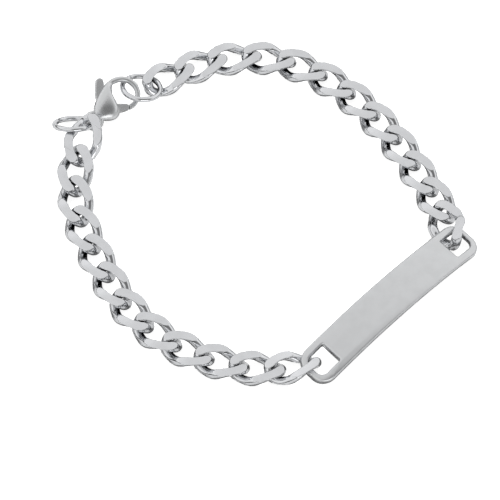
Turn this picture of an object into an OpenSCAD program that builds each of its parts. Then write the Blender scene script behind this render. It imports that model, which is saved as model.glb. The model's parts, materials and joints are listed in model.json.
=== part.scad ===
// Identity bracelet lying fastened on a level surface: a flat curb chain in two
// runs, a satin name plate between them, and a lobster clasp held by two rings.
// Millimetres, +Z up, +X to the right, +Y away from the viewer. The origin is
// under the middle of the loop, on the surface that the bracelet lies on.

/* [Chain] */
// Pitch from one link to the next
pitch = 6.6; // [6.58:0.01:6.62]
// Outside length of a link
link_len = 10.54; // [10.5:0.01:10.58]
// Outside width of a link
link_w = 6.84; // [6.8:0.01:6.9]
// Thickness of the link wire
wire_d = 1.84; // [1.76:0.02:1.86]
// Twist of a link's ends out of the flat, in degrees
link_twist = 45; // [44:1:46]
// Height between the two ground faces
chain_h = 2.4; // [2.3:0.05:2.5]

/* [Plate] */
// Length of the plate over its round ends
plate_len = 42; // [41.8:0.1:42.2]
// Width of the plate
plate_w = 7.5; // [7.4:0.05:7.55]
// Thickness of the plate
plate_t = 1.25; // [1.2:0.05:1.25]
// Radius of the plate's arch
arch_r = 75; // [74:1:77]
// Length of the slot at each end
slot_len = 4.5; // [4.5:0.05:4.6]
// Width of the slot
slot_w = 4.4; // [4.4:0.05:4.5]
// Metal left outside the slot at each end
bar_w = 1.1; // [1.05:0.05:1.1]

/* [Rings] */
// Outside diameter of the two plain rings
ring_od = 8.2; // [8.15:0.05:8.25]
// Thickness of the ring wire
ring_wire = 1; // [0.9:0.05:1.05]

/* [Clasp] */
// Thickness of the clasp's body at its fullest
clasp_t = 2.9; // [2.8:0.05:3]
// Thickness of the lever
lever_t = 1; // [0.9:0.05:1.05]
// Diameter of the lever's rivet
rivet_d = 0.9; // [0.8:0.05:0.95]

/* [Hidden] */
LINKS_LEFT = 12;
LINKS_RIGHT = 12;
STEEL = [0.80, 0.81, 0.83];
SATIN = [0.74, 0.75, 0.77];
AROUND = 16;
WIRE_SIDES = 6;

// The two runs as they lie, from the plate outwards. Columns: heading of the
// link, its climb, its roll, all in degrees, and how far it sits out of line.
LEFT_RUN = [[189.1, -5.3, 9.9, [-0.16, -0.1, 0.09]], [175, 0, 0], [163.5, 0, 0], [153, 0, 0],
            [141, 0, 0], [129, 0, 0], [118, 0, 0], [114, 0.2, 0],
            [111, 0.7, 0], [98.3, 3, 0], [84, 7.1, 0], [72.3, 19.7, 0, [0.14, -0.27, -0.08]]];
RIGHT_RUN = [[109.7, -5.7, -5.4, [-0.81, 0.36, 0.3]], [116.9, -0.4, -1, [-0.04, -0.09, 0.05]],
             [118, 0, 0], [120, 0, 0], [127, 0, 0], [133, 0, 0],
             [142, 0, 0], [154, 0, 0], [170, 0, 0], [187, 0, 0],
             [201, 0, 0], [208, 0, 0]];
// The joints at the clasp's end of each run, from which the runs are laid back.
LEFT_END = [-30.01, 25.32, 4.69];
RIGHT_END = [-18.22, 36.29, 1.2];
// The right run's link in the plate's slot is bent the other way there, so that
// its right side passes over the plate's end and its left side under it.
SLOT_TWIST = -65.4;
// Two links are opened a little on each side: that one, and the left run's link
// on the ring.
SLOT_WIDEN = 0.14;
END_WIDEN = 0.2;

// Plate, rings and clasp: where the middle is, then yaw, climb and roll.
PLATE_AT = [25.52, -12.79, 4.16];
PLATE_TURN = [45.5, -0.2, 6.6];
LEFT_RING_AT = [-32.76, 26.14, 2.73];
LEFT_RING_TURN = [7.9, -38.2, 3.9];
RIGHT_RING_AT = [-20.34, 34.79, 2.05];
RIGHT_RING_TURN = [-2.9, -18, 5.4];
EYE_AT = [-29.12, 27.44, 1.86];
CLASP_TURN = [44, 3.7, 25.7];

// Laying out: a row's direction, the joint before link i, and its middle.
function aim(row) = [cos(row[0]) * cos(row[1]), sin(row[0]) * cos(row[1]), sin(row[1])];
function joint(rows, end, i) =
    i == len(rows) ? end : joint(rows, end, i + 1) - pitch * aim(rows[i]);
function middle(rows, end, i) =
    joint(rows, end, i) + pitch / 2 * aim(rows[i]) + (len(rows[i]) > 3 ? rows[i][3] : [0, 0, 0]);

// How far a link or the plate's round end reaches from its middle.
function reach(row, along) =
    norm([link_len / 2 * cos(row[0] - along), link_w / 2 * sin(row[0] - along)]);
function run_reach(rows, end, along) =
    max([for (i = [0:len(rows) - 1])
         middle(rows, end, i) * [cos(along), sin(along), 0] + reach(rows[i], along)]);
NOSE_R = 2.8;
PLATE_REACH = PLATE_AT[0] + (plate_len / 2 - NOSE_R) * cos(PLATE_TURN[0])
            + (plate_w / 2 - NOSE_R) * sin(PLATE_TURN[0]) + NOSE_R;
LOOP_MIN = [-max(run_reach(LEFT_RUN, LEFT_END, 180), ring_od / 2 - LEFT_RING_AT[0]),
            -run_reach(LEFT_RUN, LEFT_END, 270)];
LOOP_MAX = [PLATE_REACH, run_reach(RIGHT_RUN, RIGHT_END, 90)];
ORIGIN = [(LOOP_MIN[0] + LOOP_MAX[0]) / 2, (LOOP_MIN[1] + LOOP_MAX[1]) / 2, 0];

module lay(at, turn) {
    translate(at - ORIGIN)
        rotate([turn[2], -turn[1], turn[0]])
            children();
}

// Signed power, turning about the long axis, and unit length.
function spow(v, e) = sign(v) * pow(abs(v), e);
function about_x(p, a) = [p[0], p[1] * cos(a) - p[2] * sin(a), p[1] * sin(a) + p[2] * cos(a)];
function unit(v) = v / norm(v);

// A curb link: a rounded oblong of wire whose two ends are twisted opposite
// ways, so that each end passes under one neighbour wire and over the other,
// with its top and bottom ground flat. near_twist is the twist at the end that
// faces the plate, and widen is how far each side stands further out. An end
// that is twisted further was ground before that, so its faces lie further apart.
HALF_L = (link_len - wire_d) / 2;
HALF_W = (link_w - wire_d) / 2;
function oblong(t, widen) =
    [HALF_L * spow(cos(t), 0.8), (HALF_W + widen) * spow(sin(t), 0.8), 0];
function twist_at(x, near_twist) = -(x < 0 ? near_twist : link_twist) * sin(90 * x / HALF_L);
function mid_x(t) = oblong(t, 0)[0];
function on_link(t, near_twist, widen) =
    let (p = oblong(t, widen)) about_x(p, twist_at(p[0], near_twist));
function link_ring(t, near_twist, widen) =
    let (mid = on_link(t, near_twist, widen),
         ahead = unit(on_link(t + 0.5, near_twist, widen) - on_link(t - 0.5, near_twist, widen)),
         up = about_x([0, 0, 1], twist_at(mid_x(t), near_twist)),
         side = unit(cross(ahead, up)),
         top = cross(side, ahead))
    [for (k = [0:WIRE_SIDES - 1])
        mid + wire_d / 2 * (cos(360 * k / WIRE_SIDES) * side + sin(360 * k / WIRE_SIDES) * top)];

module curb_link(near_twist = link_twist, widen = 0) {
    n = WIRE_SIDES;
    points = [for (i = [0:AROUND - 1]) each link_ring(360 * i / AROUND, near_twist, widen)];
    faces = [for (i = [0:AROUND - 1])
             for (k = [0:n - 1])
             let (a = i * n + k,
                  b = i * n + (k + 1) % n,
                  c = (i + 1) % AROUND * n + k,
                  d = (i + 1) % AROUND * n + (k + 1) % n)
             each [[a, b, c], [b, d, c]]];
    near_h = max(chain_h, chain_h * sin(abs(near_twist)) / sin(link_twist));
    intersection() {
        polyhedron(points, faces);
        union() {
            cube([2 * link_len, 2 * link_w, chain_h], center = true);
            if (near_h > chain_h)
                translate([-link_len, 0, 0])
                    cube([2 * link_len, 2 * link_w, near_h], center = true);
        }
    }
}

module left_link(i) {
    k = LINKS_LEFT - i;
    color(STEEL)
        lay(middle(LEFT_RUN, LEFT_END, k), LEFT_RUN[k])
            curb_link(widen = i == 1 ? END_WIDEN : 0);
}

module right_link(i) {
    k = LINKS_RIGHT - i;
    color(STEEL)
        lay(middle(RIGHT_RUN, RIGHT_END, k), RIGHT_RUN[k])
            curb_link(k == 0 ? SLOT_TWIST : link_twist, k == 0 ? SLOT_WIDEN : 0);
}

// The plate: an arched strip with softened long edges, cut to an outline with
// round corners, with a slot behind each end.
CHAMFER = 0.35;
module plate_strip() {
    half = plate_w / 2;
    r = arch_r + plate_t / 2;
    turn = 1.1 * asin(plate_len / 2 / arch_r);
    translate([0, 0, -arch_r])
        rotate([90, 0, 0])
            rotate([0, 0, 90 - turn])
                rotate_extrude(angle = 2 * turn, $fn = 96)
                    polygon([[r - plate_t, -half + 0.15], [r - plate_t + 0.15, -half],
                             [r - CHAMFER, -half], [r, -half + CHAMFER],
                             [r, half - CHAMFER], [r - CHAMFER, half],
                             [r - plate_t + 0.15, half], [r - plate_t, half - 0.15]]);
}

module round_oblong(l, w, r) {
    square([l - 2 * r, w], center = true);
    square([l, w - 2 * r], center = true);
    for (x = [-1, 1], y = [-1, 1])
        translate([x * (l / 2 - r), y * (w / 2 - r)])
            circle(r, $fn = 48);
}

module slot_outline() {
    // The outer corners are round, the edge nearer the middle is straight.
    r = 1.5;
    outer = plate_len / 2 - bar_w;
    translate([outer - slot_len, -slot_w / 2])
        square([slot_len - r, slot_w]);
    translate([outer - 2 * r, -slot_w / 2 + r])
        square([2 * r, slot_w - 2 * r]);
    for (y = [-1, 1])
        translate([outer - r, y * (slot_w / 2 - r)])
            circle(r, $fn = 48);
}

module id_plate() {
    color(SATIN)
        lay(PLATE_AT, PLATE_TURN)
            difference() {
                intersection() {
                    plate_strip();
                    translate([0, 0, -8])
                        linear_extrude(12)
                            round_oblong(plate_len, plate_w, NOSE_R);
                }
                for (a = [0, 180])
                    rotate([0, 0, a])
                        translate([0, 0, -8])
                            linear_extrude(12)
                                slot_outline();
            }
}

module ring(at, turn) {
    translate(at - ORIGIN)
        rotate([0, 0, turn[0]])
            rotate([turn[1], 0, 0])
                rotate([0, turn[2], 0])
                    rotate_extrude($fn = 64)
                        translate([(ring_od - ring_wire) / 2, 0])
                            circle(ring_wire / 2, $fn = 24);
}

module left_ring() {
    color(STEEL)
        ring(LEFT_RING_AT, LEFT_RING_TURN);
}

module right_ring() {
    color(STEEL)
        ring(RIGHT_RING_AT, RIGHT_RING_TURN);
}

// The clasp, seen from its upper face: forward is x, left is y, and its eye is
// at the origin. Columns of the body: outer edge x, y, inner edge x, y, and the
// share of the full thickness there.
BODY = [[1.05, 0.75, 1.05, -0.70, 0.38],
        [1.75, 1.60, 1.90, -1.50, 0.66],
        [2.70, 2.45, 2.90, -2.10, 0.90],
        [3.70, 3.00, 3.95, -2.25, 1.00],
        [4.70, 3.35, 4.90, -1.90, 1.00],
        [5.50, 3.50, 5.45, -0.90, 0.93],
        [6.10, 3.60, 5.75, 0.30, 0.83],
        [6.55, 3.62, 6.25, 1.40, 0.72]];
HOOK_C = [7.85, 0.35];
HOOK_STEPS = 12;
// The hook goes on from the body round its centre, getting slimmer.
function hook_row(k) =
    let (a = 104 - 204 * k / HOOK_STEPS,
         s = k / HOOK_STEPS,
         from = [cos(a), sin(a)],
         outer = HOOK_C + (3.35 - 0.1 * s) * from,
         inner = HOOK_C + (2.2 + 0.15 * s) * from)
    [outer[0], outer[1], inner[0], inner[1], 0.45 - 0.09 * s];
TIP = [6.72, -2.72, 7.46, -2.05, 0.36];
SECTIONS = concat(BODY, [for (k = [0:HOOK_STEPS]) hook_row(k)], [TIP]);
BODY_SIDES = 12;
function section_ring(row) =
    let (mid = [(row[0] + row[2]) / 2, (row[1] + row[3]) / 2, 0],
         half = [(row[0] - row[2]) / 2, (row[1] - row[3]) / 2, 0],
         up = [0, 0, row[4] * clasp_t / 2])
    [for (k = [0:BODY_SIDES - 1])
        mid + half * spow(cos(360 * k / BODY_SIDES), 0.8)
            + up * spow(sin(360 * k / BODY_SIDES), 0.8)];

module claw() {
    n = BODY_SIDES;
    last = len(SECTIONS) - 1;
    points = [for (row = SECTIONS) each section_ring(row)];
    sides = [for (i = [0:last - 1])
             for (k = [0:n - 1])
             let (a = i * n + k,
                  b = i * n + (k + 1) % n,
                  c = (i + 1) * n + k,
                  d = (i + 1) * n + (k + 1) % n)
             each [[a, c, b], [b, c, d]]];
    first_cap = [for (k = [0:n - 1]) k];
    last_cap = [for (k = [n - 1:-1:0]) last * n + k];
    polyhedron(points, concat(sides, [first_cap, last_cap]));
}

PIVOT = [3.7, 0.3];
HUB_R = 1.25;
PLAY = 0.1;
module lever_room() {
    // Room for the hub, the gate as it swings in, and the tab as it swings back.
    translate(PIVOT)
        circle(HUB_R + 0.17, $fn = 32);
    polygon([[3.15, -0.35], [6.6, -3.1], [7.4, -1.6], [6.4, 1.5], [4.6, 1.2]]);
    polygon([[2.28, 0.6], [2.02, 2.1], [2.02, 4.6], [5.62, 4.6], [5.62, 1.9], [4.9, 0.6]]);
}

module clasp_body() {
    color(SATIN)
        lay(EYE_AT, CLASP_TURN) {
            difference() {
                union() {
                    claw();
                    rotate_extrude($fn = 48)
                        translate([1.45, 0])
                            circle(0.45, $fn = 24);
                }
                translate([0, 0, -lever_t / 2 - PLAY])
                    linear_extrude(lever_t + 2 * PLAY)
                        lever_room();
            }
            translate([PIVOT[0], PIVOT[1], -clasp_t * 0.46])
                cylinder(h = clasp_t * 0.92, d = rivet_d, $fn = 32);
        }
}

module lever_solid() {
    linear_extrude(lever_t)
        translate(PIVOT)
            circle(HUB_R, $fn = 32);
    linear_extrude(lever_t)
        polygon([[3.05, 0.05], [6.47, -2.66], [7.2, -1.98], [4.05, 0.83]]);
    linear_extrude(lever_t)
        polygon([[2.75, 0.95], [3.02, 2.6], [3.19, 3.27], [4.08, 4.28], [4.71, 4.99],
                 [5.66, 5.71], [6.36, 5.64], [6.51, 4.8], [6.15, 4.1], [5.36, 3.4],
                 [4.85, 2.2], [4.7, 0.95]]);
}

module clasp_lever() {
    color(SATIN)
        lay(EYE_AT, CLASP_TURN)
            difference() {
                translate([0, 0, -lever_t / 2])
                    lever_solid();
                translate([PIVOT[0], PIVOT[1], -lever_t])
                    cylinder(h = 2 * lever_t, d = rivet_d + 0.14, $fn = 32);
            }
}

id_plate();
for (i = [1:LINKS_LEFT])
    left_link(i);
for (i = [1:LINKS_RIGHT])
    right_link(i);
left_ring();
right_ring();
clasp_body();
clasp_lever();
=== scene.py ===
# A flat curb chain identity bracelet, lying fastened: polished links and rings, a satin
# name plate and a lobster clasp, on a white floor in soft studio light.
import json
from math import atan2, copysign, cos, hypot, pi, radians, sin, sqrt, tan

import bmesh
import bpy
import numpy as np
from mathutils import Matrix, Vector
from mathutils.kdtree import KDTree


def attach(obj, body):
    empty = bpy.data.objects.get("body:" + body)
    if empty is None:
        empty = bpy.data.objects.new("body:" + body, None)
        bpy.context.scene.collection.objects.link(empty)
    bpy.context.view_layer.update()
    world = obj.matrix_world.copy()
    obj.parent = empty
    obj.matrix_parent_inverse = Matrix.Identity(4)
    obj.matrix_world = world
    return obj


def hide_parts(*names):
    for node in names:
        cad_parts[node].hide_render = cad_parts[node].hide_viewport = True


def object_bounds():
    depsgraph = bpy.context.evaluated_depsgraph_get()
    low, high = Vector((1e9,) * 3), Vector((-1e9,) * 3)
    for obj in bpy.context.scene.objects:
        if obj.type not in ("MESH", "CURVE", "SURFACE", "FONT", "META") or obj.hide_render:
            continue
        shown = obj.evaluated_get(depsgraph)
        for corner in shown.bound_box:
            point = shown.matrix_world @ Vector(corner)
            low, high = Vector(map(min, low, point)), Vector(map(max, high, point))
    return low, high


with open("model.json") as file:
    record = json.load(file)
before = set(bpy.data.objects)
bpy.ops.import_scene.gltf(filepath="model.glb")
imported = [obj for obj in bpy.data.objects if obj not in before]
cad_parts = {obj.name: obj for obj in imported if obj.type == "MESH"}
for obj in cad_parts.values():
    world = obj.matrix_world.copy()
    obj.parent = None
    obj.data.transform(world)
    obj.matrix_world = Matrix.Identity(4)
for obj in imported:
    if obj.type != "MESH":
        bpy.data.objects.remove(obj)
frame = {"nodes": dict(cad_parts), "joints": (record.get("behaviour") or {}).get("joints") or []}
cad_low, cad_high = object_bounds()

scene = bpy.context.scene

# Pieces are shaped in millimetres and laid in metres.
METRES = Matrix.Scale(0.001, 4)
# A mesh's parts are put in order along this direction, where no two lie level.
ODD_WAY = Vector((1, 0.6172, 0.2931))

# Chain. A link starts as a plain ring of wire of this radius, and is bent from there.
PLAIN_RADIUS = 3
LINK_HALF_LENGTH = 4.35
LINK_HALF_WIDTH = 2.5
LINK_SQUARENESS = 0.8
LINK_TWIST = radians(45)
WIRE_RADIUS = 0.89
LINK_AROUND = 96
WIRE_SIDES = 24
# The wire's direction is taken between two places this far round the link, in radians.
LOOK_AHEAD = 0.009
# The two flats are ground at this height above and below the link's middle.
GROUND_HEIGHT = 1.2
GROUND_RIM = 0.16
# Corners of a cut that lie closer than this are joined.
CUT_WELD = 0.04
# A ground face has at least this many corners, and a face of the wire has fewer.
FLAT_CORNERS = 10
# Each ground face runs out down the wire. Columns: where it bends, from the link's middle, and
# its slope from there.
RUN_OUT = [[3.2, radians(3)],
           [2.4, radians(6)],
           [1.6, radians(9)],
           [0.8, radians(12)]]
# How far from the link's middle these cuts reach, away from the flat and towards it.
RUN_OUT_SPAN = (-1.5, 3.6)
LINKS_PER_RUN = 12
# The link in the plate's slot is bent the other way, and this one and the last are opened.
SLOT_LINK = "right_link_12"
SLOT_LINK_TWIST = radians(-65.4)
SLOT_LINK_WIDEN = 0.14
# Its change of bend is spread this far to both sides, less and less away from its middle.
BEND_EASE = 0.65
EASED_HALF_LENGTH = 2
EASE_STEPS = [k / 4 for k in range(-4, 5)]
END_LINK = "left_link_1"
END_LINK_WIDEN = 0.2
# How much fuller the wire gets towards a link's two ends, as a share: on its inner side, and
# on its face away from the link that it holds.
SWELL_INNER = 0.12
SWELL_FACE = 0.18
# How fast it changes from one face of the wire to the other, at the very end.
SWELL_TURN = 0.8
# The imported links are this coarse, and their wire is this thick.
COARSE_AROUND = 16
COARSE_SIDES = 6
COARSE_WIRE_RADIUS = 0.92

# Plate
PLATE_HALF_LENGTH = 21
PLATE_HALF_WIDTH = 3.75
PLATE_THICKNESS = 1.25
ARCH_RADIUS = 75
NOSE_RADIUS = 2.8
END_BAR = 1.1
SLOT_HALF_LENGTH = 2.25
SLOT_HALF_WIDTH = 2.2
SLOT_OUTER_CORNER = 1.5
SLOT_INNER_CORNER = 0.3
CORNER_STEPS = 10
# Its top falls by the crown's height to the long edges, most of it close to them.
PLATE_CROWN = 0.2
PLATE_CROWN_POWER = 6
TOP_ROUNDING = 0.35
UNDER_ROUNDING = 0.15
ROUNDING_STEPS = 5

# Rings
RING_RADIUS = 3.6
RING_WIRE_RADIUS = 0.5
RING_AROUND = 96
RING_SEAM_GAP = 0.06
RING_SEAM_RIM = 0.05
# Where each ring's seam lies, seen from its middle.
TAIL_SEAM_SIDE = Vector((-0.85, -0.5, 0))
HOOK_SEAM_SIDE = Vector((-0.6, 0.8, 0))

# Clasp, seen from its upper face: forward is x, left is y, and its eye is at the origin.
CLASP_YAW, CLASP_CLIMB, CLASP_ROLL = radians(44), radians(3.7), radians(25.7)
CLASP_THICKNESS = 2.9
# Columns: outer edge x, y, inner edge x, y, and the share of the full thickness there.
CLASP_BODY = [[0.95, 0.95, 1.05, -0.70, 0.38],
              [1.65, 1.90, 1.90, -1.50, 0.66],
              [2.60, 2.55, 2.90, -2.15, 0.90],
              [3.65, 3.08, 3.95, -2.35, 1.00],
              [4.65, 3.48, 4.90, -1.95, 1.00],
              [5.45, 3.70, 5.35, -0.90, 0.93],
              [6.10, 3.84, 5.62, 0.30, 0.83],
              [6.60, 3.94, 6.02, 1.45, 0.68]]
HOOK_TIP = [6.72, -2.72, 7.46, -2.05, 0.36]
# The hook runs from the body to its tip round this middle, clockwise: it starts at one angle
# and goes on through the other, in degrees.
HOOK_MIDDLE = Vector((7.85, 0.35))
HOOK_START, HOOK_SWEEP = 104, 204
HOOK_STEPS = 12
HOOK_OUTER, HOOK_INNER = 3.35, 2.2
# How far it stands out at its root, which dies away within a third of its length.
HOOK_ROOT = 0.35
# How the hook changes along its length: its outer edge, its inner edge and its thickness.
HOOK_OUTER_GAIN, HOOK_INNER_GAIN = -0.1, 0.15
HOOK_THICKNESS, HOOK_THICKNESS_LOSS = 0.45, 0.09
# The tip is rounded over this length by smaller and smaller sections, and closed flat just
# before the number of steps that would bring it to a point.
TIP_REACH = 0.25
TIP_SECTIONS = 4
TIP_STEPS_TO_POINT = 4.4
CLASP_SIDES = 32
CLASP_SQUARENESS = 0.85
SECTIONS_PER_ROW = 4
EYE_RADIUS = 1.45
EYE_WIRE_RADIUS = 0.45
EYE_AROUND = 64

# The clasp's lever: a hub on a rivet, with the gate before it and the thumb tab behind.
PIVOT = Vector((3.7, 0.3, 0))
LEVER_THICKNESS = 1
LEVER_PLAY = 0.1
HUB_RADIUS = 1.25
HUB_PLAY = 0.17
HUB_RIM = 0.08
RIVET_RADIUS = 0.45
RIVET_PLAY = 0.07
RIVET_LENGTH = 0.92 * CLASP_THICKNESS
DISC_SIDES = 48
GATE = [(3.05, 0.05), (5.1, -2.02), (6.47, -2.66), (7.2, -1.98), (6.95, -1.5), (4.05, 0.83)]
GATE_CORNER, GATE_RIM = 0.12, 0.32
THUMB_TAB = [(2.75, 0.95), (4.7, 0.95), (4.85, 2.2), (5.45, 3.2), (6.2, 4.1), (6.6, 4.9),
             (6.2, 5.5), (5.5, 5.65), (4.9, 5.15), (4.08, 4.28), (3.19, 3.27), (2.98, 2.6)]
TAB_CORNER, TAB_RIM = 0.25, 0.4
# The room cut out of the body for the gate's travel, and for the tab's.
LEVER_ROOMS = [[(3.05, -0.5), (5, -2.3), (6.6, -3.1), (7.4, -1.6), (6.4, 1.5), (4.6, 1.2)],
               [(2.28, 0.6), (4.9, 0.6), (5.62, 1.9), (5.62, 3.1), (6.35, 3.98), (6.35, 4.6),
                (2.02, 4.6), (2.02, 2.1)]]
# Edges of the clasp that turn by more than this stay sharp.
SHARP_ANGLE = radians(40)

# Camera: the photograph looks down at the point of the floor under its middle.
PHOTO_MIDDLE = Vector((-0.00245, -0.00804, 0))
PHOTO_ELEVATION = radians(57.2)
PHOTO_DISTANCE = 0.759
PHOTO_FOCAL = 4145.75 / 500

# The dim part of the room, round the camera and to its right. Azimuths turn from the front.
DIM_ZONE_AZIMUTH = radians(33)
DIM_ZONE_ELEVATION = radians(48)
DIM_ZONE_EDGE = radians(40)
DIM_ZONE_HEART = radians(24)
DIM_ZONE_LEVEL = 0.25
# The room's walls. Columns: height, as a share of straight up, and the grey there.
WALL_GREYS = [[0, 0.03],
              [0.12, 0.05],
              [0.22, 0.85],
              [0.5, 0.95],
              [0.8, 0.78],
              [0.98, 0.78]]
LIGHT_DISTANCE = 1.5
FLOOR_HALF_WIDTH = 3
FLOOR_GAP = 0.00004


# Camera, floor, lights and room
def add_camera():
    data = bpy.data.cameras.new("photo_camera")
    data.sensor_width = 36
    data.lens = PHOTO_FOCAL * data.sensor_width
    data.clip_start = 0.01
    camera = bpy.data.objects.new("photo_camera", data)
    back = Vector((0, -cos(PHOTO_ELEVATION), sin(PHOTO_ELEVATION)))
    camera.location = PHOTO_MIDDLE + PHOTO_DISTANCE * back
    camera.rotation_euler = (pi / 2 - PHOTO_ELEVATION, 0, 0)
    scene.collection.objects.link(camera)
    scene.camera = camera


def add_floor():
    bm = bmesh.new()
    bmesh.ops.create_grid(bm, x_segments=1, y_segments=1, size=FLOOR_HALF_WIDTH)
    mesh = bpy.data.meshes.new("floor")
    bm.to_mesh(mesh)
    bm.free()
    floor = bpy.data.objects.new("floor", mesh)
    floor.location.z = cad_low.z - FLOOR_GAP
    mesh.materials.append(white_card())
    scene.collection.objects.link(floor)


def towards(azimuth, elevation):
    """The direction of a place in the room, seen from the object."""
    return Vector((sin(azimuth) * cos(elevation), -cos(azimuth) * cos(elevation), sin(elevation)))


def add_light(name, azimuth, elevation, size, power, mirrored=True):
    """A square soft light aimed at the object. The metal shows no image of one that isn't mirrored."""
    data = bpy.data.lights.new(name, "AREA")
    data.shape = "SQUARE"
    data.size = size
    data.energy = power
    light = bpy.data.objects.new(name, data)
    light.location = LIGHT_DISTANCE * towards(azimuth, elevation)
    light.rotation_euler = (pi / 2 - elevation, 0, azimuth)
    light.visible_glossy = mirrored
    scene.collection.objects.link(light)


def add_room():
    """The room that the metal mirrors: pale, dark at the skyline and dim round the camera."""
    world = bpy.data.worlds.new("studio")
    world.use_nodes = True
    scene.world = world
    tree = world.node_tree
    link = tree.links.new
    direction = tree.nodes.new("ShaderNodeTexCoord")
    split = tree.nodes.new("ShaderNodeSeparateXYZ")
    walls = tree.nodes.new("ShaderNodeValToRGB")
    nearness = tree.nodes.new("ShaderNodeVectorMath")
    nearness.operation = "DOT_PRODUCT"
    nearness.inputs[1].default_value = towards(DIM_ZONE_AZIMUTH, DIM_ZONE_ELEVATION)
    dimmed = tree.nodes.new("ShaderNodeMapRange")
    dimmed.inputs["From Min"].default_value = cos(DIM_ZONE_EDGE)
    dimmed.inputs["From Max"].default_value = cos(DIM_ZONE_HEART)
    dimmed.inputs["To Min"].default_value = 1
    dimmed.inputs["To Max"].default_value = DIM_ZONE_LEVEL
    link(direction.outputs["Generated"], split.inputs[0])
    link(split.outputs["Z"], walls.inputs[0])
    link(walls.outputs[0], tree.nodes["Background"].inputs["Color"])
    link(direction.outputs["Generated"], nearness.inputs[0])
    link(nearness.outputs["Value"], dimmed.inputs["Value"])
    link(dimmed.outputs["Result"], tree.nodes["Background"].inputs["Strength"])
    stops = walls.color_ramp.elements
    stops[1].position = WALL_GREYS[-1][0]
    for height, _ in WALL_GREYS[1:-1]:
        stops.new(height)
    for stop, (_, grey) in zip(stops, WALL_GREYS):
        stop.color = (grey, grey, grey, 1)


# Materials
def node_group(name, inputs, outputs):
    """An empty shader group with float inputs and their defaults, and typed outputs."""
    group = bpy.data.node_groups.new(name, "ShaderNodeTree")
    for label, value in inputs:
        socket = group.interface.new_socket(label, in_out="INPUT", socket_type="NodeSocketFloat")
        socket.default_value = value
    for label, kind in outputs:
        group.interface.new_socket(label, in_out="OUTPUT", socket_type=kind)
    return group, group.nodes.new("NodeGroupInput"), group.nodes.new("NodeGroupOutput")


def polish_lines():
    """Fine rubbed grain and the broad ripple under it, both as a height, and a mottled mask."""
    group, given, out = node_group(
        "polish_lines",
        [("Fineness", 1500), ("Streak", 6), ("Ripple", 0)],
        [("Height", "NodeSocketFloat"), ("Mask", "NodeSocketFloat")])
    nodes, link = group.nodes, group.links.new
    place = nodes.new("ShaderNodeTexCoord")
    squeeze = nodes.new("ShaderNodeCombineXYZ")
    squeeze.inputs["X"].default_value = 1
    squeeze.inputs["Z"].default_value = 1
    stretched = nodes.new("ShaderNodeVectorMath")
    stretched.operation = "MULTIPLY"
    fine = nodes.new("ShaderNodeTexNoise")
    fine.inputs["Detail"].default_value = 2
    broad = nodes.new("ShaderNodeTexNoise")
    broad.inputs["Scale"].default_value = 420
    broad.inputs["Detail"].default_value = 4
    height = nodes.new("ShaderNodeMath")
    height.operation = "MULTIPLY_ADD"
    link(given.outputs["Streak"], squeeze.inputs["Y"])
    link(place.outputs["Object"], stretched.inputs[0])
    link(squeeze.outputs[0], stretched.inputs[1])
    link(stretched.outputs[0], fine.inputs["Vector"])
    link(given.outputs["Fineness"], fine.inputs["Scale"])
    link(place.outputs["Object"], broad.inputs["Vector"])
    link(broad.outputs["Fac"], height.inputs[0])
    link(given.outputs["Ripple"], height.inputs[1])
    link(fine.outputs["Fac"], height.inputs[2])
    link(height.outputs[0], out.inputs["Height"])
    link(broad.outputs["Fac"], out.inputs["Mask"])
    return group


def painted_crevice_shade():
    """Painted shade for the crevices: white in the open, and darker where the metal lies close to other
    metal.
    """
    group, given, out = node_group(
        "painted_crevice_shade",
        [("Reach", 0.0016), ("Dark", 0.35)],
        [("Painted Shade", "NodeSocketFloat")])
    nodes, link = group.nodes, group.links.new
    near = nodes.new("ShaderNodeAmbientOcclusion")
    near.samples = 8
    keep = nodes.new("ShaderNodeMapRange")
    keep.inputs["From Min"].default_value = 0.1
    keep.inputs["From Max"].default_value = 0.65
    link(given.outputs["Reach"], near.inputs["Distance"])
    link(near.outputs["AO"], keep.inputs["Value"])
    link(given.outputs["Dark"], keep.inputs["To Min"])
    link(keep.outputs["Result"], out.inputs["Painted Shade"])
    return group


GRAIN = polish_lines()
# Painted shade, multiplied into a steel's colour where metal lies close to other metal.
PAINTED_CREVICE_SHADE = painted_crevice_shade()
# The grain's depth, in metres.
GRAIN_DEPTH = 0.00002
# The parts of the mask's range that the mottled tone and the roughness follow.
MOTTLE_FROM, MOTTLE_TO = 0.38, 0.6
ROUGH_FROM, ROUGH_TO = 0.3, 0.7
# The sockets of a node that maps one range of a colour to another.
MAPPED, FROM_MIN, FROM_MAX, TO_MIN, TO_MAX = range(6, 11)


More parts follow.
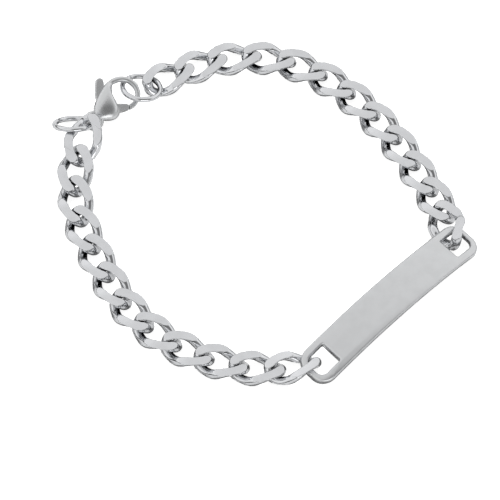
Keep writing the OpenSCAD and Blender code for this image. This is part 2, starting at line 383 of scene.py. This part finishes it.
def steel(name, tone, smooth, rough, fineness, streak, bump, crevice_shade=0.3, mottle=0.05, ripple=0):
    """A stainless steel finish with painted shade in its crevices. smooth and rough are the ends of its
    roughness.
    """
    material = bpy.data.materials.new(name)
    material.use_nodes = True
    nodes, link = material.node_tree.nodes, material.node_tree.links.new
    shader = nodes["Principled BSDF"]
    shader.inputs["Metallic"].default_value = 1
    grain = nodes.new("ShaderNodeGroup")
    grain.node_tree = GRAIN
    grain.inputs["Fineness"].default_value = fineness
    grain.inputs["Streak"].default_value = streak
    grain.inputs["Ripple"].default_value = ripple
    # Painted shade: the colour is darkened where the metal lies close to other metal.
    painted_shade_node = nodes.new("ShaderNodeGroup")
    painted_shade_node.node_tree = PAINTED_CREVICE_SHADE
    painted_shade_node.inputs["Dark"].default_value = crevice_shade
    colour = nodes.new("ShaderNodeMapRange")
    colour.data_type = "FLOAT_VECTOR"
    colour.inputs[FROM_MIN].default_value = 3 * (MOTTLE_FROM,)
    colour.inputs[FROM_MAX].default_value = 3 * (MOTTLE_TO,)
    colour.inputs[TO_MIN].default_value = tuple((1 - mottle) * c for c in tone)
    colour.inputs[TO_MAX].default_value = tone
    shade = nodes.new("ShaderNodeVectorMath")
    shade.operation = "SCALE"
    gloss = nodes.new("ShaderNodeMapRange")
    gloss.inputs["From Min"].default_value = ROUGH_FROM
    gloss.inputs["From Max"].default_value = ROUGH_TO
    gloss.inputs["To Min"].default_value = smooth
    gloss.inputs["To Max"].default_value = rough
    relief = nodes.new("ShaderNodeBump")
    relief.inputs["Strength"].default_value = bump
    relief.inputs["Distance"].default_value = GRAIN_DEPTH
    link(grain.outputs["Mask"], colour.inputs[MAPPED])
    link(colour.outputs["Vector"], shade.inputs[0])
    link(painted_shade_node.outputs["Painted Shade"], shade.inputs["Scale"])
    link(shade.outputs[0], shader.inputs["Base Color"])
    link(grain.outputs["Mask"], gloss.inputs["Value"])
    link(gloss.outputs["Result"], shader.inputs["Roughness"])
    link(grain.outputs["Height"], relief.inputs["Height"])
    link(relief.outputs["Normal"], shader.inputs["Normal"])
    return material


def white_card():
    """The floor: a white card, lit so evenly that shadows hardly show on it."""
    material = bpy.data.materials.new("white_card")
    material.use_nodes = True
    shader = material.node_tree.nodes["Principled BSDF"]
    shader.inputs["Base Color"].default_value = (0.38, 0.38, 0.38, 1)
    shader.inputs["Roughness"].default_value = 0.9
    shader.inputs["Specular IOR Level"].default_value = 0
    seen = material.node_tree.nodes.new("ShaderNodeLightPath")
    material.node_tree.links.new(seen.outputs["Is Camera Ray"], shader.inputs["Emission Color"])
    shader.inputs["Emission Strength"].default_value = 0.88
    return material


STEEL_TONE = (0.80, 0.81, 0.83)
SATIN_TONE = (0.76, 0.77, 0.78)
WIRE_POLISH = steel("wire_polish", STEEL_TONE, smooth=0.05, rough=0.12,
                    fineness=900, streak=1, bump=0.05)
GROUND_FACE = steel("ground_face", STEEL_TONE, smooth=0.2, rough=0.32,
                    fineness=2600, streak=0.3, bump=0.35, mottle=0.3, ripple=30)
PLATE_SATIN = steel("plate_satin", SATIN_TONE, smooth=0.3, rough=0.38,
                    fineness=2400, streak=0.15, bump=0.12, crevice_shade=1)
PLATE_EDGE = steel("plate_edge", STEEL_TONE, smooth=0.1, rough=0.18,
                   fineness=900, streak=1, bump=0.05)
CLASP_SATIN = steel("clasp_satin", SATIN_TONE, smooth=0.24, rough=0.32,
                    fineness=1200, streak=1, bump=0.12)


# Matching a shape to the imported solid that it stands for
def solid_frame(mesh):
    """The middle of a closed mesh's volume and its principal axes, as columns, in millimetres."""
    mesh.calc_loop_triangles()
    corners = np.array([v.co for v in mesh.vertices], float)
    a, b, c = corners[[t.vertices[:] for t in mesh.loop_triangles]].transpose(1, 0, 2)
    share = np.einsum("ij,ij->i", a, np.cross(b, c)) / 6
    middle = ((a + b + c) / 4 * share[:, None]).sum(0) / share.sum()
    a, b, c = a - middle, b - middle, c - middle
    share = np.einsum("ij,ij->i", a, np.cross(b, c)) / 120
    spread = sum(np.einsum("i,ij,ik->jk", share, p, p) for p in (a, b, c, a + b + c))
    axes = np.linalg.eigh(spread)[1]
    axes[:, 2] = np.cross(axes[:, 0], axes[:, 1])
    return middle, axes


def node_mesh(node):
    """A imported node's mesh as a scratch copy in millimetres."""
    mesh = frame["nodes"][node].data.copy()
    mesh.transform(Matrix.Scale(1000, 4))
    return mesh


HALF_TURNS = [np.diag(d) for d in ((1, 1, 1), (1, -1, -1), (-1, 1, -1), (-1, -1, 1))]
# A later half turn is taken only if its misfit is under this share of the best one before it.
CLEARLY_BETTER = 0.98


def lie_on(node, model):
    """The transform, in millimetres, that lays the mesh model on a node of its shape."""
    packed = node_mesh(node)
    there, to_axes = solid_frame(packed)
    here, from_axes = solid_frame(model)
    tree = KDTree(len(packed.vertices))
    for i, v in enumerate(packed.vertices):
        tree.insert(v.co, i)
    tree.balance()
    best = None
    for half_turn in HALF_TURNS:
        turn = Matrix(to_axes @ half_turn @ from_axes.T).to_4x4()
        lay = Matrix.Translation(there) @ turn @ Matrix.Translation(-here)
        miss = sum(tree.find(lay @ v.co)[2] for v in model.vertices)
        if best is None or miss < CLEARLY_BETTER * best[0]:
            best = (miss, lay)
    bpy.data.meshes.remove(packed)
    return best[1]


# Meshes and pieces
def order_of(vert):
    return vert.co.dot(ODD_WAY)


def settle(bm):
    """Puts a mesh's parts in an order of their own, so that every run goes on in the same way."""
    bm.verts.sort(key=order_of)
    for parts in (bm.edges, bm.faces):
        parts.sort(key=lambda part: sum(map(order_of, part.verts)))


def each_once(parts):
    """These parts of a mesh without repeats, in their own order."""
    return list(dict.fromkeys(parts))


def mesh_of(bm, name):
    """Turns a bmesh into a mesh, and frees it."""
    settle(bm)
    mesh = bpy.data.meshes.new(name)
    bm.to_mesh(mesh)
    bm.free()
    return mesh


def finish_piece(name, mesh, lay, materials, node, body="bracelet"):
    """Puts a shaped mesh in its place and hides the imported node that it stands for."""
    mesh.transform(METRES @ lay)
    mesh.name = name
    mesh.materials.clear()
    for material in materials:
        mesh.materials.append(material)
    piece = bpy.data.objects.new(name, mesh)
    scene.collection.objects.link(piece)
    even = piece.modifiers.new("even_shading", "WEIGHTED_NORMAL")
    even.keep_sharp = True
    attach(piece, body)
    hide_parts(node)


# Curb links
def power(value, exponent):
    """A power that keeps the value's sign."""
    return copysign(abs(value) ** exponent, value)


def twist_at(x, near_twist):
    """How far a link's wire is turned out of the flat, at x along the link."""
    twist = near_twist if x < 0 else LINK_TWIST
    return twist * sin(pi / 2 * x / LINK_HALF_LENGTH)


def link_line(t, near_twist, widen, ease):
    """A point on the middle of a link's wire, and which way is up on the wire there."""
    x = LINK_HALF_LENGTH * power(cos(t), LINK_SQUARENESS)
    y = (LINK_HALF_WIDTH + widen) * power(sin(t), LINK_SQUARENESS)
    reach = ease * max(0, 1 - abs(x) / EASED_HALF_LENGTH)
    twist = sum(twist_at(x + reach * k, near_twist) for k in EASE_STEPS) / len(EASE_STEPS)
    turn = Matrix.Rotation(-twist, 3, "X")
    return turn @ Vector((x, y, 0)), turn @ Vector((0, 0, 1))


def swell_end(middle, out, lift):
    """Makes a link's wire fuller towards its two ends, where it was bent and pressed."""
    swell = abs(middle.x / LINK_HALF_LENGTH) ** 3
    share = min(1, max(0, 0.5 + copysign(SWELL_TURN, lift) * middle.z))
    if out < 0:
        out *= 1 + SWELL_INNER * swell
    return out, lift * (1 + SWELL_FACE * swell * share)


def closed_wire(radius, wire_radius, around, sides):
    """A plain ring of round wire."""
    bm = bmesh.new()
    upright = Matrix.Translation((radius, 0, 0)) @ Matrix.Rotation(pi / 2, 4, "X")
    bmesh.ops.create_circle(bm, segments=sides, radius=wire_radius, matrix=upright)
    bmesh.ops.spin(bm, geom=bm.verts[:] + bm.edges[:], axis=(0, 0, 1), cent=(0, 0, 0),
                   steps=around, angle=2 * pi, use_merge=True)
    bmesh.ops.recalc_face_normals(bm, faces=bm.faces)
    settle(bm)
    return bm


def grind(bm, faces, on_plane, outwards):
    """Grinds these faces' wire away outside a plane and closes it with flats."""
    corners = each_once(v for f in faces for v in f.verts)
    edges = each_once(e for f in faces for e in f.edges)
    bmesh.ops.bisect_plane(bm, geom=corners + edges + faces, dist=1e-5, plane_co=on_plane,
                           plane_no=outwards, clear_outer=True)
    rim = sorted((v for v in bm.verts if v.is_boundary), key=order_of)
    bmesh.ops.remove_doubles(bm, verts=rim, dist=CUT_WELD)
    flats = bmesh.ops.edgeloop_fill(bm, edges=[e for e in bm.edges if e.is_boundary])["faces"]
    for flat in flats:
        flat.material_index = 1


def run_out(bm, side, hand):
    """Lets the flat on one side run out down the wire, on the hand of the link where it is."""
    end = -side * hand
    height, slope_before, bend_before = GROUND_HEIGHT, 0, RUN_OUT[0][0]
    for bend, slope in RUN_OUT:
        faces = []
        for face in bm.faces:
            middle = face.calc_center_median()
            if middle.y * hand > 0 and RUN_OUT_SPAN[0] < middle.x * end < RUN_OUT_SPAN[1]:
                faces.append(face)
        height -= (bend_before - bend) * tan(slope_before)
        grind(bm, faces, (end * bend, 0, side * height), (-end * sin(slope), 0, side * cos(slope)))
        slope_before, bend_before = slope, bend


def bend_wire(bm, near_twist, widen, finished):
    """Bends a plain ring of wire into a link, twisted opposite ways at its two ends."""
    ease = BEND_EASE if finished else 0
    for v in bm.verts:
        t = atan2(v.co.y, v.co.x)
        out, lift = hypot(v.co.x, v.co.y) - PLAIN_RADIUS, v.co.z
        middle, up = link_line(t, near_twist, widen, ease)
        if finished:
            out, lift = swell_end(middle, out, lift)
        ahead = (link_line(t + LOOK_AHEAD, near_twist, widen, ease)[0]
                 - link_line(t - LOOK_AHEAD, near_twist, widen, ease)[0])
        side = ahead.cross(up).normalized()
        v.co = middle + out * side + lift * side.cross(ahead).normalized()


def grind_flats(bm, near_twist):
    """Grinds a link flat above and below, its far end before its near one."""
    near_height = max(GROUND_HEIGHT, GROUND_HEIGHT * sin(abs(near_twist)) / sin(LINK_TWIST))
    for side in (1, -1):
        far = [f for f in bm.faces if f.calc_center_median().x >= 0]
        grind(bm, far, (0, 0, side * GROUND_HEIGHT), (0, 0, side))
        near = [f for f in bm.faces
                if f.calc_center_median().x < 0 and len(f.verts) < FLAT_CORNERS]
        grind(bm, near, (0, 0, side * near_height), (0, 0, side))


def curb_link(around, sides, wire_radius, near_twist, widen, finished=False):
    """A link of round wire, bent and ground flat. The coarse ones have none of the fine forms."""
    bm = closed_wire(PLAIN_RADIUS, wire_radius, around, sides)
    bend_wire(bm, near_twist, widen, finished)
    grind_flats(bm, near_twist)
    if finished:
        if near_twist == LINK_TWIST:
            for side in (1, -1):
                for hand in (1, -1):
                    run_out(bm, side, hand)
        settle(bm)
        rims = [e for e in bm.edges if sum(f.material_index for f in e.link_faces) == 1]
        bmesh.ops.bevel(bm, geom=rims, offset=GROUND_RIM, segments=2, profile=0.5,
                        affect="EDGES", material=-1, clamp_overlap=False)
    bmesh.ops.recalc_face_normals(bm, faces=bm.faces)
    return bm


def make_chain():
    """Each link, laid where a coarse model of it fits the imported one."""
    shapes = {SLOT_LINK: (SLOT_LINK_TWIST, SLOT_LINK_WIDEN), END_LINK: (LINK_TWIST, END_LINK_WIDEN)}
    for run in ("left", "right"):
        for i in range(1, LINKS_PER_RUN + 1):
            node = f"{run}_link_{i}"
            shape = shapes.get(node, (LINK_TWIST, 0))
            coarse = mesh_of(curb_link(COARSE_AROUND, COARSE_SIDES, COARSE_WIRE_RADIUS, *shape), node)
            fine = mesh_of(curb_link(LINK_AROUND, WIRE_SIDES, WIRE_RADIUS, *shape, finished=True), node)
            fine.shade_smooth()
            finish_piece(f"{run}_curb_{i}", fine, lie_on(node, coarse), [WIRE_POLISH, GROUND_FACE],
                         node)


# Jump rings
def make_ring(name, node, seam_towards):
    """A ring of round wire whose two ends meet in a seam, on the side that seam_towards gives."""
    bm = bmesh.new()
    open_angle = RING_SEAM_GAP / RING_RADIUS
    upright = Matrix.Translation((RING_RADIUS, 0, 0)) @ Matrix.Rotation(pi / 2, 4, "X")
    start = Matrix.Rotation(open_angle / 2, 4, "Z") @ upright
    bmesh.ops.create_circle(bm, segments=WIRE_SIDES, radius=RING_WIRE_RADIUS, matrix=start)
    bmesh.ops.spin(bm, geom=bm.verts[:] + bm.edges[:], axis=(0, 0, 1), cent=(0, 0, 0),
                   steps=RING_AROUND, angle=2 * pi - open_angle)
    ends = [e for e in bm.edges if e.is_boundary]
    bmesh.ops.edgeloop_fill(bm, edges=ends)
    bmesh.ops.bevel(bm, geom=ends, offset=RING_SEAM_RIM, segments=2, profile=0.5,
                    affect="EDGES", material=-1)
    bmesh.ops.recalc_face_normals(bm, faces=bm.faces)
    packed = node_mesh(node)
    middle, axes = solid_frame(packed)
    bpy.data.meshes.remove(packed)
    axis = Vector(axes[:, 0])
    across = (seam_towards - seam_towards.dot(axis) * axis).normalized()
    turn = Matrix((across, axis.cross(across), axis)).transposed().to_4x4()
    mesh = mesh_of(bm, name)
    mesh.shade_smooth()
    finish_piece(name, mesh, Matrix.Translation(middle) @ turn, [WIRE_POLISH], node)


# Plate
def corner_loop(bm, middle_x, half_x, half_y, near_corner, far_corner, z):
    """A closed outline with round corners, the far ones away from the plate's middle."""
    start = Matrix.Rotation(pi / (4 * CORNER_STEPS), 4, "Z")
    loop = bmesh.ops.create_circle(bm, segments=4 * CORNER_STEPS, radius=1, matrix=start)["verts"]
    outwards = copysign(1, middle_x)
    for v in loop:
        corner = far_corner if v.co.x * outwards > 0 else near_corner
        v.co = (middle_x + copysign(half_x - corner, v.co.x) + corner * v.co.x,
                copysign(half_y - corner, v.co.y) + corner * v.co.y, z)
    return loop


def loop_edges(loop):
    """The edges between the corners of a loop."""
    members = set(loop)
    return each_once(e for v in loop for e in v.link_edges if e.other_vert(v) in members)


def edge_profile():
    """Rows from underneath up: how far the plate's edge stands in, and its height."""
    half = PLATE_THICKNESS / 2
    rows = []
    for k in range(ROUNDING_STEPS + 1):
        a = pi / 2 * k / ROUNDING_STEPS
        rows.append((UNDER_ROUNDING * (1 - sin(a)), -half + UNDER_ROUNDING * (1 - cos(a))))
    for k in range(ROUNDING_STEPS + 1):
        a = pi / 2 * k / ROUNDING_STEPS
        rows.append((TOP_ROUNDING * (1 - cos(a)), half - TOP_ROUNDING * (1 - sin(a))))
    return rows


def plate_outlines(bm, stand_in, z):
    """The loops of the plate's outline and of its two slots at one height."""
    slot_x = PLATE_HALF_LENGTH - END_BAR - SLOT_HALF_LENGTH
    nose = NOSE_RADIUS - stand_in
    loops = [corner_loop(bm, 0, PLATE_HALF_LENGTH - stand_in, PLATE_HALF_WIDTH - stand_in,
                         nose, nose, z)]
    for side in (-1, 1):
        loops.append(corner_loop(bm, side * slot_x, SLOT_HALF_LENGTH + stand_in,
                                 SLOT_HALF_WIDTH + stand_in, SLOT_INNER_CORNER + stand_in,
                                 SLOT_OUTER_CORNER + stand_in, z))
    return [loop_edges(loop) for loop in loops]


def make_plate():
    """The plate, built flat, cut across at every millimetre and then arched."""
    bm = bmesh.new()
    levels = [plate_outlines(bm, stand_in, z) for stand_in, z in edge_profile()]
    for below, above in zip(levels, levels[1:]):
        for low, high in zip(below, above):
            bmesh.ops.bridge_loops(bm, edges=low + high)
    for face in bm.faces:
        face.material_index = 1
    for level in (levels[0], levels[-1]):
        bmesh.ops.triangle_fill(bm, edges=[e for loop in level for e in loop], use_beauty=True,
                                use_dissolve=False)
    for x in range(1 - PLATE_HALF_LENGTH, PLATE_HALF_LENGTH):
        bmesh.ops.bisect_plane(bm, geom=bm.verts[:] + bm.edges[:] + bm.faces[:], dist=1e-5,
                               plane_co=(x, 0, 0), plane_no=(1, 0, 0))
    bmesh.ops.remove_doubles(bm, verts=bm.verts, dist=1e-4)
    for v in bm.verts:
        if v.co.z > 0:
            v.co.z -= PLATE_CROWN * (v.co.y / PLATE_HALF_WIDTH) ** PLATE_CROWN_POWER
        rise = sqrt(ARCH_RADIUS ** 2 - v.co.x ** 2)
        v.co.z = v.co.z * ARCH_RADIUS / rise + rise - ARCH_RADIUS
    bmesh.ops.recalc_face_normals(bm, faces=bm.faces)
    mesh = mesh_of(bm, "name_plate")
    mesh.shade_smooth()
    finish_piece("name_plate", mesh, lie_on("id_plate", mesh), [PLATE_SATIN, PLATE_EDGE],
                 "id_plate")


# Clasp
def hook_row(k):
    """A row of the clasp's table, this many steps along the hook."""
    turned = radians(HOOK_START - HOOK_SWEEP * k / HOOK_STEPS)
    share = k / HOOK_STEPS
    away = Vector((cos(turned), sin(turned)))
    lift = HOOK_ROOT * max(0, 1 - 3 * share) ** 2
    outer = HOOK_MIDDLE + (HOOK_OUTER + lift + HOOK_OUTER_GAIN * share) * away
    inner = HOOK_MIDDLE + (HOOK_INNER + lift + HOOK_INNER_GAIN * share) * away
    return [*outer, *inner, HOOK_THICKNESS - HOOK_THICKNESS_LOSS * share]


def smooth_rows(rows):
    """More rows between the given ones, on a curve through them all."""
    rows = np.array(rows, float)
    out = []
    for i in range(len(rows) - 1):
        before, here, after, last = rows[[max(i - 1, 0), i, i + 1, min(i + 2, len(rows) - 1)]]
        for k in range(SECTIONS_PER_ROW):
            s = k / SECTIONS_PER_ROW
            out.append(0.5 * (2 * here + (after - before) * s
                              + (2 * before - 5 * here + 4 * after - last) * s ** 2
                              + (3 * here - before - 3 * after + last) * s ** 3))
    return out + [rows[-1]]


def clasp_section(bm, row, scale=1.0, forward=Vector((0, 0, 0))):
    """One rounded section of the claw, across the line from its outer to its inner edge."""
    outer, inner = Vector((row[0], row[1], 0)), Vector((row[2], row[3], 0))
    half = (outer - inner) / 2 * scale
    up = Vector((0, 0, row[4] * CLASP_THICKNESS / 2 * scale))
    loop = bmesh.ops.create_circle(bm, segments=CLASP_SIDES, radius=1)["verts"]
    for v in loop:
        v.co = ((outer + inner) / 2 + forward + half * power(v.co.x, CLASP_SQUARENESS)
                + up * power(v.co.y, CLASP_SQUARENESS))
    return loop_edges(loop)


def claw():
    """The clasp's body and hook in one, from the eye to the hook's tip."""
    bm = bmesh.new()
    rows = smooth_rows(CLASP_BODY + [hook_row(k) for k in range(HOOK_STEPS + 1)] + [HOOK_TIP])
    sections = [clasp_section(bm, row) for row in rows]
    tip = rows[-1]
    across = Vector((tip[0] - tip[2], tip[1] - tip[3], 0))
    forward = Vector((across.y, -across.x, 0)) / 2
    for k in range(1, TIP_SECTIONS + 1):
        a = pi / 2 * k / TIP_STEPS_TO_POINT
        sections.append(clasp_section(bm, tip, cos(a), TIP_REACH * sin(a) * forward))
    for low, high in zip(sections, sections[1:]):
        bmesh.ops.bridge_loops(bm, edges=low + high)
    for end in (sections[0], sections[-1]):
        bmesh.ops.edgeloop_fill(bm, edges=end)
    bmesh.ops.recalc_face_normals(bm, faces=bm.faces)
    return bm


def prism(points, thickness, corner=0.0, rim=0.0):
    """A flat piece of this outline, its corners and its rims rounded."""
    bm = bmesh.new()
    bm.faces.new([bm.verts.new((x, y, -thickness / 2)) for x, y in points])
    if corner:
        bmesh.ops.bevel(bm, geom=bm.verts[:], offset=corner, segments=4, profile=0.5,
                        affect="VERTICES", material=-1, clamp_overlap=True)
    raised = bmesh.ops.extrude_face_region(bm, geom=bm.faces[:])["geom"]
    bmesh.ops.translate(bm, verts=[v for v in raised if isinstance(v, bmesh.types.BMVert)],
                        vec=(0, 0, thickness))
    if rim:
        flat = [e for e in bm.edges if abs(e.verts[0].co.z - e.verts[1].co.z) < 1e-6]
        bmesh.ops.bevel(bm, geom=flat, offset=rim, segments=3, profile=0.5, affect="EDGES",
                        material=-1, clamp_overlap=True)
    bmesh.ops.recalc_face_normals(bm, faces=bm.faces)
    return mesh_of(bm, "prism")


def disc(radius, thickness, rim=0.0):
    """A round flat piece on the lever's pivot."""
    around = [2 * pi * k / DISC_SIDES for k in range(DISC_SIDES)]
    return prism([(PIVOT.x + radius * cos(a), PIVOT.y + radius * sin(a)) for a in around],
                 thickness, rim=rim)


def combine(mesh, other, operation):
    """Joins a second mesh to a mesh, or cuts it out of it."""
    first = bpy.data.objects.new("first", mesh)
    second = bpy.data.objects.new("second", other)
    for obj in (first, second):
        scene.collection.objects.link(obj)
    step = first.modifiers.new("combine", "BOOLEAN")
    step.object = second
    step.operation = operation
    step.solver = "MANIFOLD"
    graph = bpy.context.evaluated_depsgraph_get()
    result = bpy.data.meshes.new_from_object(first.evaluated_get(graph))
    for obj in (first, second):
        bpy.data.objects.remove(obj)
    return result


def clasp_place():
    """The clasp's frame: its pivot is the lever's joint."""
    turn = (Matrix.Rotation(CLASP_YAW, 4, "Z") @ Matrix.Rotation(-CLASP_CLIMB, 4, "Y")
            @ Matrix.Rotation(CLASP_ROLL, 4, "X"))
    pivot = Vector(frame["joints"][0]["pos_m"]) * 1000
    return Matrix.Translation(pivot) @ turn @ Matrix.Translation(-PIVOT)


def clasp_body():
    """The claw with its eye, a room for the lever and the lever's rivet."""
    deep = LEVER_THICKNESS + 2 * LEVER_PLAY
    room = disc(HUB_RADIUS + HUB_PLAY, deep)
    for outline in LEVER_ROOMS:
        room = combine(room, prism(outline, deep), "UNION")
    eye = mesh_of(closed_wire(EYE_RADIUS, EYE_WIRE_RADIUS, EYE_AROUND, WIRE_SIDES), "eye")
    body = combine(mesh_of(claw(), "clasp"), eye, "UNION")
    body = combine(body, room, "DIFFERENCE")
    return combine(body, disc(RIVET_RADIUS, RIVET_LENGTH), "UNION")


def clasp_lever():
    """The hub with the gate and the thumb tab, bored for the rivet."""
    gate = prism(GATE, LEVER_THICKNESS, GATE_CORNER, GATE_RIM)
    tab = prism(THUMB_TAB, LEVER_THICKNESS, TAB_CORNER, TAB_RIM)
    lever = combine(disc(HUB_RADIUS, LEVER_THICKNESS, HUB_RIM), gate, "UNION")
    lever = combine(lever, tab, "UNION")
    return combine(lever, disc(RIVET_RADIUS + RIVET_PLAY, 2 * LEVER_THICKNESS), "DIFFERENCE")


def make_clasp():
    """The clasp's two pieces: the lever turns on the body's rivet."""
    body, lever = clasp_body(), clasp_lever()
    for mesh in (body, lever):
        mesh.shade_smooth()
        mesh.set_sharp_from_angle(angle=SHARP_ANGLE)
    finish_piece("lobster_clasp", body, clasp_place(), [CLASP_SATIN], "clasp_body")
    finish_piece("thumb_lever", lever, clasp_place(), [CLASP_SATIN], "clasp_lever",
                 body="lever")


add_camera()
add_floor()
add_room()
add_light("front_card", azimuth=radians(20), elevation=radians(9), size=1, power=4)
add_light("floor_lamp", azimuth=radians(165), elevation=radians(50), size=0.5, power=42,
          mirrored=False)
make_chain()
make_ring("tail_ring", "left_ring", TAIL_SEAM_SIDE)
make_ring("hook_ring", "right_ring", HOOK_SEAM_SIDE)
make_plate()
make_clasp()
scene.view_settings.view_transform = "Standard"
